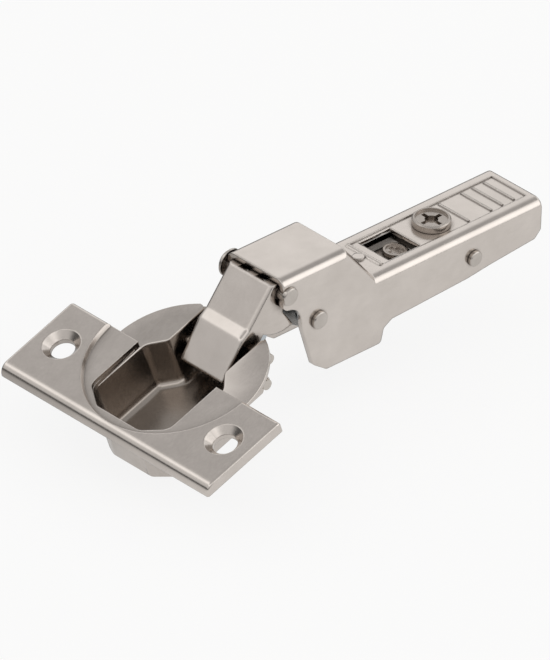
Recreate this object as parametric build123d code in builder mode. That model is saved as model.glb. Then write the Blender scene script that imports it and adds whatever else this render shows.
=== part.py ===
from build123d import *
import os
from math import atan2, cos, radians, sin, tan

# Concealed cup hinge, half cranked, shown fully open.
# Frame: X is the hinge axis, Y runs along the arm to its rear end, Z points away from the cabinet side.
# The origin lies under the depth screw, on the plane of the arm's lower edges. Millimetres.

# Places in the arm's section are given as (along, up) from the outer link's pivot
PIVOT_Y = -46.0
PIVOT_Z = 21.0
INNER_PIVOT = (8.3, -8.6)
TILT_PIVOT = (50.0, -11.6)

# Cup pose when open, and the cup pins in the cup's own section (rearward, up from the plate top)
CUP_AT = (-21.6, -9.45)
CUP_TILT = 20.0
OUTER_CUP_PIN = (9.0, -6.8)
INNER_CUP_PIN = (13.8, -6.4)

# Cup
CUP_R = 17.5
CUP_DEPTH = 14.2
CUP_WALL = 0.9
CUP_SIDE_WALL = 1.6
CUP_TOP = 2.8
RIM_THICK = 1.0
RIM_CORNER = 1.5
CUP_FOOT = 1.0
POCKET_FOOT = 0.8
POCKET_HALF = 10.85
POCKET_FRONT = 16.6
POCKET_CORNER = 13.2
POCKET_NOSE_HALF = 6.0
POCKET_REAR = 1.0
SLOT_HALF = 7.7
SLOT_START = 4.4
SLOT_END = 16.9
SLOT_WALL_CUT = 10.8
POCKET_DRAFT = 7.0
POCKET_ROUND = 2.8
SLOT_ROUND = 1.6
LUG_INSET = 4.3
LUG_SHEET = 1.0
LUG_R = 1.6

# Flange plate
PLATE_LENGTH = 57.6
PLATE_FRONT = 20.7
PLATE_REAR = 0.1
PLATE_HIGH = 2.4
PLATE_SHEET = 1.0
PLATE_ROLL = 2.25
PLATE_REAR_ROLL = 1.0
PLATE_END_EDGE = 0.5
RECESS_R = 18.8
RECESS_DEEP = 0.9
RECESS_LEAN = 30.0
SCREW_SPACING = 45.0
SCREW_OFFSET = 9.5
SCREW_HOLE_R = 2.45
SCREW_SINK_R = 3.9
SINK_WALL = 0.6

# Sheet, pins and running gaps
SHEET = 1.2
RUN_GAP = 0.05
PRESS_GAP = 0.02
SIDE_GAP = 0.3
PIN_R = 1.5
CUP_PIN_R = 1.1
CUP_PIN_STUB = 0.8
REAR_PIN_END = 10.0
TILT_PIN_R = 1.25
STAKE_OUT = 0.9
STAKE_SPREAD = 0.35
STAKE_EDGE = 0.2
PIN_HEAD_R = 2.9
PIN_HEAD_HIGH = 1.0

# Arm channel
ARM_WIDTH = 15.8
ARM_BEND = 2.0
HUMP_FRONT = -1.3
HUMP_TOP = 3.5
HUMP_REAR = 16.0
CRANK_FOOT = 24.0
CRANK_BEND = 1.8
CRANK_FOOT_BEND = 4.0
ARM_TOP = -5.8
ARM_REAR = 68.3
ARM_LOW = -PIVOT_Z
WINDOW_AT = 34.7
WINDOW_SIDE = 8.4
DEPTH_SCREW_AT = -PIVOT_Y
PANEL_HALF = 4.7
PANEL_DEEP = 0.25
PANEL_FRONT = 28.4
PANEL_REAR = 66.9
WALL_ROUND = 0.9
RIB_AT = (52.1, 58.2, 61.2, 64.3)
RIB_HALF = 4.15
RIB_WIDE = 0.5
RIDGE_AT = 28.0
RIDGE_R = 0.7
RIDGE_HIGH = 0.35
BOSS_AT = 26.4
BOSS_R = 1.2

# Links
LINK_WIDTH = 12.2
LOBE_R = 9.0
KNUCKLE_R = 2.15
KNUCKLE_WIDE = 2.2
KNUCKLE_PITCH = 4.7
KNUCKLE_WEB = ((-3.6, 1.0), (-2.2, -0.9))
LINK_FACE = ((-2.7, 2.3), (-8.5, -5.3), (-10.4, -6.8), (-15.1, -14.4))
LINK_EYE_R = 2.6
LINK_CREASE = 0.4
LINK_BEND = 2.2
LINK_EDGE = 0.9
LOBE_ANGLES = (-69.0, -121.0)
LOBE_THROAT = (0.4, -4.6)
KNUCKLE_FRONT = -2.3
NECK_TOP_REAR = (3.0, -4.4)
NECK_TOP_FRONT = (-1.4, -7.4)
NECK_LOW_FRONT = (-1.6, -9.7)
NECK_LOW_REAR = (2.6, -8.9)
CRADLE_ANGLES = (-110.0, 33.0)
INNER_LINK_WIDTH = 8.4
INNER_EYE_R = 3.0
OPEN_PIVOT_GAP = 1.9
CRADLE_DROP = 0.3
HOOK_WALL = 0.8

# Closing spring
WIRE_R = 0.35
LEG_R = 0.3
COIL_R = 1.88
COIL_LONG = 2.1
BRACE_ANGLE = 110.0
BRACE_LONG = 11.4
LEG_ANGLE = 120.0
LEG_LONG = 3.2

# Carrier, screws and release lever
CARRIER_TOP = -8.8
CARRIER_FRONT = 27.5
CARRIER_REAR = 64.5
CARRIER_LOW = -14.6
CARRIER_WEB_END = 57.5
TONGUE_ROOT = 30.0
TONGUE_HALF = 3.2
TONGUE_SLOT_END = 41.0
TONGUE_SLOT_HALF = 4.9
CARRIER_REAR_RISE = 1.2
CARRIER_HOOK_LONG = 2.5
CARRIER_HOOK_HIGH = 2.4
DEPTH_IN = 2.0
DEPTH_OUT = 3.0
HEAD_R = 3.85
HEAD_HIGH = 1.5
HEAD_EDGE = 0.25
HEAD_DISH_R = 3.3
HEAD_DISH_DEEP = 0.45
NECK_R = 2.6
CAM_R = 4.2
CAM_THICK = 1.0
CROSS_LONG = 5.2
CROSS_WIDE = 1.0
CROSS_HUB_R = 1.4
CROSS_DEEP = 1.6
CROSS_DRAFT = 8.0
SIDE_SCREW_AT = 36.4
SIDE_COLLAR_R = 2.4
SIDE_THREAD_R = 1.75
SIDE_THREAD_LONG = 4.2
SIDE_COLLAR_HIGH = 0.9
SIDE_DISH_R = 1.9
SIDE_DISH_DEEP = 0.3
SIDE_CROSS_LONG = 2.8
SIDE_CROSS_DEEP = 0.6
LEVER_PIVOT = (60.0, -11.4)
LEVER_PIN_R = 1.0
LEVER_HALF = 4.5
LEVER_EYE_R = 2.0
LEVER_BEND = 1.0
LEVER_LINE = ((56.8, -15.6), (59.0, -15.0), (59.6, -13.0), (62.5, -12.6), (67.0, -11.6))

LUG_OUTER = CUP_R - LUG_INSET
CUP_PIN_END = LUG_OUTER + CUP_PIN_STUB
ARM_HALF = ARM_WIDTH / 2
ARM_INNER = ARM_HALF - SHEET
LINK_HALF = LINK_WIDTH / 2
LINK_INNER = LINK_HALF - SHEET
CARRIER_HALF = ARM_INNER - SIDE_GAP
TILT = radians(CUP_TILT)
CUP_ORIGIN = (0, PIVOT_Y + CUP_AT[0], PIVOT_Z + CUP_AT[1])

# Section of the arm, plan of the arm, plan of the cup and section of the cup
SIDE = Plane(origin=(0, PIVOT_Y, PIVOT_Z), x_dir=(0, 1, 0), z_dir=(1, 0, 0))
PLAN = Plane(origin=(0, PIVOT_Y, PIVOT_Z), x_dir=(1, 0, 0), z_dir=(0, 0, 1))
CUP = Plane(origin=CUP_ORIGIN, x_dir=(1, 0, 0), z_dir=(0, -sin(TILT), cos(TILT)))
CUP_SIDE = Plane(origin=CUP_ORIGIN, x_dir=(0, cos(TILT), sin(TILT)), z_dir=(1, 0, 0))
CUP_UP = Axis(CUP_ORIGIN, (0, -sin(TILT), cos(TILT)))


def cup_to_arm(point):
    """Place of a point of the cup's section in the arm's section, hinge open."""
    along, up = point
    y = CUP_AT[0] + along * cos(TILT) - up * sin(TILT)
    z = CUP_AT[1] + along * sin(TILT) + up * cos(TILT)
    return (y, z)


def polar(centre, radius, degrees):
    """Point at a radius and an angle from a centre, in a section."""
    return (centre[0] + radius * cos(radians(degrees)), centre[1] + radius * sin(radians(degrees)))


C1 = cup_to_arm(OUTER_CUP_PIN)
C2 = cup_to_arm(INNER_CUP_PIN)


def mirrored(points):
    """Right-hand outline points followed by their mirror images, in order."""
    return [*points, *[(-x, y) for x, y in reversed(points)]]


# Pocket of the cup: tapered, with round corners and a bevelled foot
pocket_outline = mirrored(
    [
        (POCKET_NOSE_HALF, -POCKET_FRONT),
        (POCKET_HALF, -POCKET_CORNER),
        (POCKET_HALF, POCKET_REAR),
        (SLOT_HALF, SLOT_START),
        (SLOT_HALF, SLOT_END),
    ]
)
with BuildPart() as pocket:
    with BuildSketch(CUP.offset(-RECESS_DEEP)):
        with BuildLine():
            Polyline(*pocket_outline, close=True)
        make_face()
        fillet(vertices().filter_by(lambda v: v.Y < POCKET_REAR + SHEET), POCKET_ROUND)
        fillet(vertices().filter_by(lambda v: abs(v.Y - SLOT_START) < RUN_GAP), SLOT_ROUND)
    extrude(amount=-(CUP_DEPTH - CUP_WALL - RECESS_DEEP), taper=POCKET_DRAFT)
    chamfer(pocket.faces().sort_by(CUP_UP)[0].edges(), POCKET_FOOT)

# Cup: a deep-drawn shell with a round rim, a slot through its rear wall for the links and two pin lugs
rim_slot = SLOT_HALF - CUP_TOP * tan(radians(POCKET_DRAFT))
with BuildPart() as hinge_cup:
    with BuildSketch(CUP.offset(-CUP_TOP)):
        with BuildLine():
            Polyline(*pocket_outline, close=True)
        make_face()
        fillet(vertices().filter_by(lambda v: v.Y < POCKET_REAR + SHEET), POCKET_ROUND)
        fillet(vertices().filter_by(lambda v: abs(v.Y - SLOT_START) < RUN_GAP), SLOT_ROUND)
        offset(amount=CUP_SIDE_WALL)
    extrude(amount=-(CUP_DEPTH - CUP_TOP))
    chamfer(hinge_cup.faces().sort_by(CUP_UP)[0].edges(), CUP_FOOT)
    with BuildSketch(CUP):
        Circle(CUP_R)
    extrude(amount=-CUP_DEPTH, mode=Mode.INTERSECT)
    with BuildSketch(CUP.offset(-CUP_TOP)):
        Circle(CUP_R)
        with Locations((0, SLOT_END)):
            Rectangle(2 * rim_slot, SLOT_END, mode=Mode.SUBTRACT)
        fillet(vertices().sort_by(Axis.Y)[-2:], RIM_CORNER)
    extrude(amount=-RIM_THICK)
    with BuildSketch(CUP.offset(-CUP_TOP)):
        Circle(CUP_R)
        with Locations((0, CUP_R - PLATE_REAR - PLATE_SHEET)):
            Rectangle(4 * CUP_R, 2 * CUP_R, mode=Mode.SUBTRACT)
    extrude(amount=CUP_TOP - RECESS_DEEP - PLATE_SHEET)
    add(pocket.part, mode=Mode.SUBTRACT)
    with BuildSketch(CUP):
        with Locations((0, SLOT_END)):
            Rectangle(2 * SLOT_HALF, SLOT_END)
    extrude(amount=-SLOT_WALL_CUT, taper=POCKET_DRAFT, mode=Mode.SUBTRACT)
    for side in (1, -1):
        with BuildSketch(CUP_SIDE.offset(side * LUG_OUTER)):
            with Locations(OUTER_CUP_PIN):
                Circle(LUG_R)
                Rectangle(2 * LUG_R, -OUTER_CUP_PIN[1] - CUP_TOP, align=(Align.CENTER, Align.MIN))
        extrude(amount=-side * LUG_SHEET)
    with BuildSketch(CUP_SIDE):
        with Locations(OUTER_CUP_PIN, INNER_CUP_PIN):
            Circle(CUP_PIN_R)
    extrude(amount=CUP_PIN_END, both=True, mode=Mode.SUBTRACT)
hinge_cup.part.label = "hinge_cup"

# Flange plate: a shallow pan with rolled edges, a sunk round seat and two countersunk dimples
screws = [(-SCREW_SPACING / 2, -SCREW_OFFSET), (SCREW_SPACING / 2, -SCREW_OFFSET)]
plate_wide = PLATE_FRONT - PLATE_REAR
plate_mid = (0, -(PLATE_FRONT + PLATE_REAR) / 2)
with BuildPart() as flange_plate:
    with BuildSketch(CUP):
        with Locations(plate_mid):
            Rectangle(PLATE_LENGTH, plate_wide)
    extrude(amount=-PLATE_HIGH)
    long_edges = flange_plate.faces().sort_by(CUP_UP)[-1].edges().filter_by(Axis.X).sort_by(Axis.Y)
    fillet(long_edges[0], PLATE_ROLL)
    rear_edge = flange_plate.faces().sort_by(CUP_UP)[-1].edges().filter_by(Axis.X).sort_by(Axis.Y)[-1]
    fillet(rear_edge, PLATE_REAR_ROLL)
    for end in (0, -1):
        rim = flange_plate.faces().sort_by(Axis.X)[end].edges().sort_by(CUP_UP)[1:]
        fillet(rim, PLATE_END_EDGE)
    with BuildSketch(CUP):
        Circle(RECESS_R)
    extrude(amount=-RECESS_DEEP, taper=RECESS_LEAN, mode=Mode.SUBTRACT)
    with BuildSketch(CUP.offset(-PLATE_HIGH)):
        with Locations(plate_mid):
            Rectangle(PLATE_LENGTH - 2 * PLATE_SHEET, plate_wide - 2 * PLATE_SHEET)
        with Locations(*screws):
            Circle(SCREW_SINK_R + SINK_WALL, mode=Mode.SUBTRACT)
    extrude(amount=PLATE_HIGH - PLATE_SHEET - RECESS_DEEP, mode=Mode.SUBTRACT)
    with BuildSketch(CUP.offset(-PLATE_SHEET - RECESS_DEEP)):
        with Locations(plate_mid):
            Rectangle(PLATE_LENGTH - 2 * PLATE_SHEET, plate_wide - 2 * PLATE_SHEET)
        Circle(RECESS_R + PLATE_SHEET, mode=Mode.SUBTRACT)
        with Locations(*screws):
            Circle(SCREW_SINK_R + SINK_WALL, mode=Mode.SUBTRACT)
    extrude(amount=RECESS_DEEP, mode=Mode.SUBTRACT)
    with BuildSketch(CUP):
        with BuildLine():
            Polyline(
                *mirrored(
                    [
                        (POCKET_NOSE_HALF, -POCKET_FRONT),
                        (POCKET_HALF, -POCKET_CORNER),
                        (POCKET_HALF, PLATE_REAR),
                    ]
                ),
                close=True,
            )
        make_face()
        fillet(vertices().sort_by(Axis.Y)[0:4], POCKET_ROUND)
    extrude(amount=-PLATE_HIGH, mode=Mode.SUBTRACT)
    with Locations(CUP):
        with Locations(*screws):
            CounterSinkHole(SCREW_HOLE_R, SCREW_SINK_R, counter_sink_angle=90)
flange_plate.part.label = "flange_plate"

# Arm: a channel folded from one sheet, with a hump, a crank and a long rear part
crank_lean = atan2(HUMP_TOP - ARM_TOP, CRANK_FOOT - HUMP_REAR)
under_shift = SHEET * tan(crank_lean / 2)
arm_top_line = [
    (HUMP_FRONT, HUMP_TOP),
    (HUMP_REAR, HUMP_TOP),
    (CRANK_FOOT, ARM_TOP),
    (ARM_REAR, ARM_TOP),
]
arm_wall_line = [
    (ARM_REAR, -12.5),
    (66.7, -14.1),
    (54.6, -15.1),
    (48.6, -15.8),
    (28.3, -16.7),
    (26.2, -17.9),
    (25.5, ARM_LOW),
    (11.0, ARM_LOW),
    (7.4, -18.6),
    (4.1, -9.1),
    (3.4, -3.6),
    (HUMP_FRONT, -3.4),
]
arm_under_line = [
    (HUMP_FRONT - ARM_WIDTH, HUMP_TOP - SHEET),
    (HUMP_REAR - under_shift, HUMP_TOP - SHEET),
    (CRANK_FOOT - under_shift, ARM_TOP - SHEET),
    (ARM_REAR + ARM_WIDTH, ARM_TOP - SHEET),
]
below = ARM_LOW - ARM_WIDTH


def bend_channel(part, half, bend, crank_bends):
    """Rounds the two cranks and the two long edges of a channel's solid."""
    ridges = part.edges().filter_by(Axis.X).filter_by(lambda e: e.center().Z > PIVOT_Z + ARM_TOP - 2 * SHEET)
    for ridge, radius in zip(ridges.sort_by(Axis.Y)[1:3], crank_bends):
        fillet(ridge, radius)
    tops = part.faces().filter_by(lambda f: f.normal_at().Z > 0.3)
    long_edges = [e for e in tops.edges() if abs(abs(e.center().X) - half) < RUN_GAP]
    fillet(long_edges, bend)


with BuildPart() as arm_core:
    with BuildSketch(SIDE):
        with BuildLine():
            Polyline(*arm_under_line, (ARM_REAR + ARM_WIDTH, below), (HUMP_FRONT - ARM_WIDTH, below), close=True)
        make_face()
    extrude(amount=ARM_INNER, both=True)
    bend_channel(arm_core, ARM_INNER, ARM_BEND - SHEET, (CRANK_BEND - SHEET, CRANK_FOOT_BEND + SHEET))

with BuildPart() as hinge_arm:
    with BuildSketch(SIDE):
        with BuildLine():
            Polyline(*arm_top_line, *arm_wall_line, close=True)
        make_face()
        wall_corners = vertices().filter_by(lambda v: v.Y < ARM_TOP - SHEET)
        fillet(wall_corners, WALL_ROUND)
    extrude(amount=ARM_HALF, both=True)
    bend_channel(hinge_arm, ARM_HALF, ARM_BEND, (CRANK_BEND, CRANK_FOOT_BEND))
    add(arm_core.part, mode=Mode.SUBTRACT)
    with BuildSketch(PLAN.offset(ARM_TOP)):
        with Locations((0, WINDOW_AT)):
            Rectangle(WINDOW_SIDE, WINDOW_SIDE)
        with Locations((0, DEPTH_SCREW_AT)):
            Circle(NECK_R + RUN_GAP)
    extrude(amount=-2 * SHEET, mode=Mode.SUBTRACT)
    with BuildSketch(PLAN.offset(ARM_TOP)):
        with Locations((0, (PANEL_FRONT + PANEL_REAR) / 2)):
            Rectangle(2 * PANEL_HALF, PANEL_REAR - PANEL_FRONT)
        with Locations(*[(0, at) for at in RIB_AT]):
            Rectangle(2 * RIB_HALF, RIB_WIDE, mode=Mode.SUBTRACT)
    extrude(amount=-PANEL_DEEP, mode=Mode.SUBTRACT)
    with BuildSketch(SIDE):
        with Locations((RIDGE_AT, ARM_TOP + RIDGE_HIGH - RIDGE_R)):
            Circle(RIDGE_R)
    extrude(amount=PANEL_HALF, both=True)
    with BuildSketch(PLAN.offset(ARM_TOP + RIDGE_HIGH)):
        with Locations((0, BOSS_AT)):
            Circle(BOSS_R)
    extrude(amount=-RIDGE_R)
    with BuildSketch(SIDE):
        with Locations((0, 0), INNER_PIVOT):
            Circle(PIN_R + PRESS_GAP)
        with Locations(TILT_PIVOT):
            Circle(TILT_PIN_R + RUN_GAP)
    extrude(amount=ARM_WIDTH, both=True, mode=Mode.SUBTRACT)
hinge_arm.part.label = "hinge_arm"

# Outer link: a bent strap with two side flanges, whose lobes are round about the arm's pivot
lobe_right = polar((0, 0), LOBE_R, LOBE_ANGLES[0])
lobe_mid = polar((0, 0), LOBE_R, sum(LOBE_ANGLES) / 2)
lobe_left = polar((0, 0), LOBE_R, LOBE_ANGLES[1])
with BuildPart() as outer_link:
    with BuildSketch(SIDE):
        with BuildLine():
            face_line = FilletPolyline(*LINK_FACE, radius=(LINK_CREASE, LINK_BEND))
            offset(face_line, amount=SHEET, side=Side.LEFT)
        make_face()
    extrude(amount=LINK_HALF, both=True)
    with BuildSketch(SIDE.offset(LINK_INNER)):
        with BuildLine():
            FilletPolyline(*LINK_FACE, radius=(LINK_CREASE, LINK_BEND))
            Line(LINK_FACE[-1], polar(C1, LINK_EYE_R, -100))
            RadiusArc(polar(C1, LINK_EYE_R, -100), polar(C1, LINK_EYE_R, -45), -LINK_EYE_R)
            Line(polar(C1, LINK_EYE_R, -45), lobe_left)
            ThreePointArc(lobe_left, lobe_mid, lobe_right)
            Polyline(lobe_right, LOBE_THROAT, (KNUCKLE_R, 0))
            RadiusArc((KNUCKLE_R, 0), (0, KNUCKLE_R), -KNUCKLE_R)
            Line((0, KNUCKLE_R), LINK_FACE[0])
        make_face()
    extrude(amount=SHEET)
    mirror(about=Plane.YZ)
    with BuildSketch(SIDE):
        Circle(KNUCKLE_R)
        with BuildLine():
            Polyline((0, KNUCKLE_R), LINK_FACE[0], *KNUCKLE_WEB, (0, -KNUCKLE_R), close=True)
        make_face()
    extrude(amount=LINK_INNER, both=True)
    fronts = outer_link.faces().filter_by(lambda f: f.normal_at().Y < -0.4 and f.normal_at().Z > 0.3)
    fillet([e for e in fronts.edges() if abs(abs(e.center().X) - LINK_HALF) < RUN_GAP], LINK_EDGE)
    with BuildSketch(PLAN.offset(HUMP_TOP)):
        with Locations((KNUCKLE_PITCH / 2, KNUCKLE_FRONT), (-KNUCKLE_PITCH / 2, KNUCKLE_FRONT)):
            Rectangle(KNUCKLE_PITCH - KNUCKLE_WIDE, 2 * KNUCKLE_R + SHEET, align=(Align.CENTER, Align.MIN))
    extrude(amount=-(HUMP_TOP + KNUCKLE_R + SHEET), mode=Mode.SUBTRACT)
    with BuildSketch(SIDE):
        Circle(PIN_R + RUN_GAP)
        with Locations(C1):
            Circle(CUP_PIN_R + RUN_GAP)
        with Locations(C2):
            Circle(CUP_PIN_R + SIDE_GAP)
    extrude(amount=ARM_WIDTH, both=True, mode=Mode.SUBTRACT)
outer_link.part.label = "outer_link"

# Inner link: a goose-necked bar, whose open end cradles the cup's rear pin with room to spare
cradle_at = (C2[0], C2[1] - CRADLE_DROP)
cradle_in = CUP_PIN_R + OPEN_PIVOT_GAP
cradle_out = cradle_in + HOOK_WALL
with BuildPart() as inner_link:
    with BuildSketch(SIDE):
        with BuildLine():
            Polyline(
                (INNER_PIVOT[0], INNER_PIVOT[1] + INNER_EYE_R),
                NECK_TOP_REAR,
                NECK_TOP_FRONT,
                polar(cradle_at, cradle_in, CRADLE_ANGLES[1]),
                cradle_at,
                polar(cradle_at, cradle_out, CRADLE_ANGLES[0] + 60),
                NECK_LOW_FRONT,
                NECK_LOW_REAR,
                (INNER_PIVOT[0] - 1.0, INNER_PIVOT[1] - INNER_EYE_R),
                close=True,
            )
        make_face()
        with Locations(INNER_PIVOT):
            Circle(INNER_EYE_R)
        with BuildLine():
            CenterArc(cradle_at, cradle_out, CRADLE_ANGLES[0], CRADLE_ANGLES[1] - CRADLE_ANGLES[0])
            Polyline(polar(cradle_at, cradle_out, CRADLE_ANGLES[1]), cradle_at, polar(cradle_at, cradle_out, CRADLE_ANGLES[0]))
        make_face()
        with Locations(cradle_at):
            Circle(cradle_in, mode=Mode.SUBTRACT)
        with Locations(INNER_PIVOT):
            Circle(PIN_R + RUN_GAP, mode=Mode.SUBTRACT)
    extrude(amount=INNER_LINK_WIDTH / 2, both=True)
inner_link.part.label = "inner_link"

# Pins of the arm: the outer link's has a round head on the far side, the others are staked at both ends
pin_half = ARM_HALF + STAKE_OUT
with BuildPart() as outer_link_pin:
    with BuildSketch(SIDE):
        Circle(PIN_R)
    extrude(amount=pin_half, both=True)
    with BuildSketch(SIDE.offset(ARM_HALF)):
        Circle(PIN_R + STAKE_SPREAD)
    extrude(amount=STAKE_OUT)
    with BuildSketch(SIDE.offset(-ARM_HALF)):
        Circle(PIN_HEAD_R)
    extrude(amount=-PIN_HEAD_HIGH)
    chamfer(outer_link_pin.faces().sort_by(Axis.X)[0].edges(), PIN_HEAD_HIGH / 2)
    chamfer(outer_link_pin.faces().sort_by(Axis.X)[-1].edges(), STAKE_EDGE)
outer_link_pin.part.label = "outer_link_pin"

with BuildPart() as inner_link_pin:
    with BuildSketch(SIDE):
        with Locations(INNER_PIVOT):
            Circle(PIN_R)
    extrude(amount=pin_half, both=True)
    for side in (1, -1):
        with BuildSketch(SIDE.offset(side * ARM_HALF)):
            with Locations(INNER_PIVOT):
                Circle(PIN_R + STAKE_SPREAD)
        extrude(amount=side * STAKE_OUT)
    for end in (0, -1):
        chamfer(inner_link_pin.faces().sort_by(Axis.X)[end].edges(), STAKE_EDGE)
inner_link_pin.part.label = "inner_link_pin"

with BuildPart() as tilt_pin:
    with BuildSketch(SIDE):
        with Locations(TILT_PIVOT):
            Circle(TILT_PIN_R)
    extrude(amount=pin_half + RUN_GAP, both=True)
    for side in (1, -1):
        with BuildSketch(SIDE.offset(side * (ARM_HALF + RUN_GAP))):
            with Locations(TILT_PIVOT):
                Circle(TILT_PIN_R + STAKE_SPREAD)
        extrude(amount=side * STAKE_OUT)
    for end in (0, -1):
        chamfer(tilt_pin.faces().sort_by(Axis.X)[end].edges(), STAKE_EDGE)
tilt_pin.part.label = "tilt_pin"

# Cup pins: pressed through the cup, the front one ends in a small stub beside the rim
with BuildPart() as cup_pin_front:
    with BuildSketch(CUP_SIDE):
        with Locations(OUTER_CUP_PIN):
            Circle(CUP_PIN_R - PRESS_GAP)
    extrude(amount=CUP_PIN_END, both=True)
cup_pin_front.part.label = "cup_pin_front"

with BuildPart() as cup_pin_rear:
    with BuildSketch(CUP_SIDE):
        with Locations(INNER_CUP_PIN):
            Circle(CUP_PIN_R - PRESS_GAP)
    extrude(amount=REAR_PIN_END, both=True)
cup_pin_rear.part.label = "cup_pin_rear"

# Carrier: the inner channel that clips over a mounting plate and carries the arm
slot_mid = TILT_PIVOT[0] + (DEPTH_OUT - DEPTH_IN) / 2
with BuildPart() as clip_carrier:
    with BuildSketch(SIDE):
        with BuildLine():
            FilletPolyline(
                (CARRIER_FRONT, CARRIER_TOP),
                (CARRIER_REAR, CARRIER_TOP),
                (CARRIER_REAR, CARRIER_LOW + CARRIER_REAR_RISE),
                (CARRIER_REAR - CARRIER_HOOK_LONG, CARRIER_LOW),
                (CARRIER_FRONT + CARRIER_HOOK_LONG, CARRIER_LOW),
                (CARRIER_FRONT + CARRIER_HOOK_LONG, CARRIER_LOW + CARRIER_HOOK_HIGH),
                (CARRIER_FRONT, CARRIER_LOW + CARRIER_HOOK_HIGH),
                radius=WALL_ROUND / 2,
                close=True,
            )
        make_face()
    extrude(amount=CARRIER_HALF, both=True)
    with BuildSketch(SIDE):
        with Locations(((CARRIER_FRONT + CARRIER_REAR) / 2, CARRIER_TOP - SHEET)):
            Rectangle(ARM_REAR, ARM_WIDTH, align=(Align.CENTER, Align.MAX))
    extrude(amount=CARRIER_HALF - SHEET, both=True, mode=Mode.SUBTRACT)
    with BuildSketch(PLAN.offset(CARRIER_TOP)):
        with Locations((0, CARRIER_WEB_END)):
            Rectangle(2 * (CARRIER_HALF - SHEET), ARM_REAR, align=(Align.CENTER, Align.MIN))
        with Locations((0, (TONGUE_ROOT + TONGUE_SLOT_END) / 2)):
            Rectangle(2 * TONGUE_SLOT_HALF, TONGUE_SLOT_END - TONGUE_ROOT)
        with Locations((0, (TONGUE_ROOT + SIDE_SCREW_AT) / 2)):
            Rectangle(2 * TONGUE_HALF, SIDE_SCREW_AT - TONGUE_ROOT, mode=Mode.SUBTRACT)
        with Locations((0, SIDE_SCREW_AT)):
            Circle(TONGUE_HALF, mode=Mode.SUBTRACT)
            Circle(SIDE_THREAD_R + RUN_GAP)
    extrude(amount=-2 * SHEET, mode=Mode.SUBTRACT)
    with BuildSketch(SIDE):
        with Locations((slot_mid, TILT_PIVOT[1])):
            SlotCenterToCenter(DEPTH_IN + DEPTH_OUT, 2 * (TILT_PIN_R + RUN_GAP))
        with Locations(LEVER_PIVOT):
            Circle(LEVER_PIN_R + PRESS_GAP)
    extrude(amount=ARM_WIDTH, both=True, mode=Mode.SUBTRACT)
clip_carrier.part.label = "clip_carrier"

with BuildPart() as lever_pin:
    with BuildSketch(SIDE):
        with Locations(LEVER_PIVOT):
            Circle(LEVER_PIN_R)
    extrude(amount=CARRIER_HALF, both=True)
lever_pin.part.label = "lever_pin"

# Depth screw: a ringed head with a cross recess, a neck through the arm and a cam disc below it
head_top = ARM_TOP - PANEL_DEEP + RUN_GAP + HEAD_HIGH
neck_low = ARM_TOP - SHEET - CAM_THICK - 2 * RUN_GAP
with BuildPart() as depth_screw:
    with BuildSketch(PLAN.offset(head_top)):
        with Locations((0, DEPTH_SCREW_AT)):
            Circle(HEAD_R)
    extrude(amount=-HEAD_HIGH)
    chamfer(depth_screw.edges().sort_by(Axis.Z)[-1], HEAD_EDGE)
    with BuildSketch(PLAN.offset(neck_low)):
        with Locations((0, DEPTH_SCREW_AT)):
            Circle(NECK_R)
    extrude(amount=HEAD_HIGH + SHEET)
    with BuildSketch(PLAN.offset(neck_low)):
        with Locations((0, DEPTH_SCREW_AT)):
            Circle(CAM_R)
    extrude(amount=CAM_THICK)
    with BuildSketch(PLAN.offset(head_top)):
        with Locations((0, DEPTH_SCREW_AT)):
            Circle(HEAD_DISH_R)
    extrude(amount=-HEAD_DISH_DEEP, mode=Mode.SUBTRACT)
    with BuildSketch(PLAN.offset(head_top)):
        with Locations((0, DEPTH_SCREW_AT)):
            Rectangle(CROSS_LONG, CROSS_WIDE)
            Rectangle(CROSS_WIDE, CROSS_LONG)
            Circle(CROSS_HUB_R)
    extrude(amount=-CROSS_DEEP, taper=CROSS_DRAFT, mode=Mode.SUBTRACT)
depth_screw.part.label = "depth_screw"

# Side screw: stands in the carrier under the window
with BuildPart() as side_screw:
    with BuildSketch(PLAN.offset(CARRIER_TOP + RUN_GAP)):
        with Locations((0, SIDE_SCREW_AT)):
            Circle(SIDE_COLLAR_R)
    extrude(amount=SIDE_COLLAR_HIGH)
    with BuildSketch(PLAN.offset(CARRIER_TOP + RUN_GAP)):
        with Locations((0, SIDE_SCREW_AT)):
            Circle(SIDE_THREAD_R)
    extrude(amount=-SIDE_THREAD_LONG)
    with BuildSketch(PLAN.offset(CARRIER_TOP + SIDE_COLLAR_HIGH + RUN_GAP)):
        with Locations((0, SIDE_SCREW_AT)):
            Circle(SIDE_DISH_R)
    extrude(amount=-SIDE_DISH_DEEP, mode=Mode.SUBTRACT)
    with BuildSketch(PLAN.offset(CARRIER_TOP + SIDE_COLLAR_HIGH + RUN_GAP)):
        with Locations((0, SIDE_SCREW_AT)):
            Rectangle(SIDE_CROSS_LONG, CROSS_WIDE)
            Rectangle(CROSS_WIDE, SIDE_CROSS_LONG)
    extrude(amount=-SIDE_CROSS_DEEP, mode=Mode.SUBTRACT)
side_screw.part.label = "side_screw"

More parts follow.
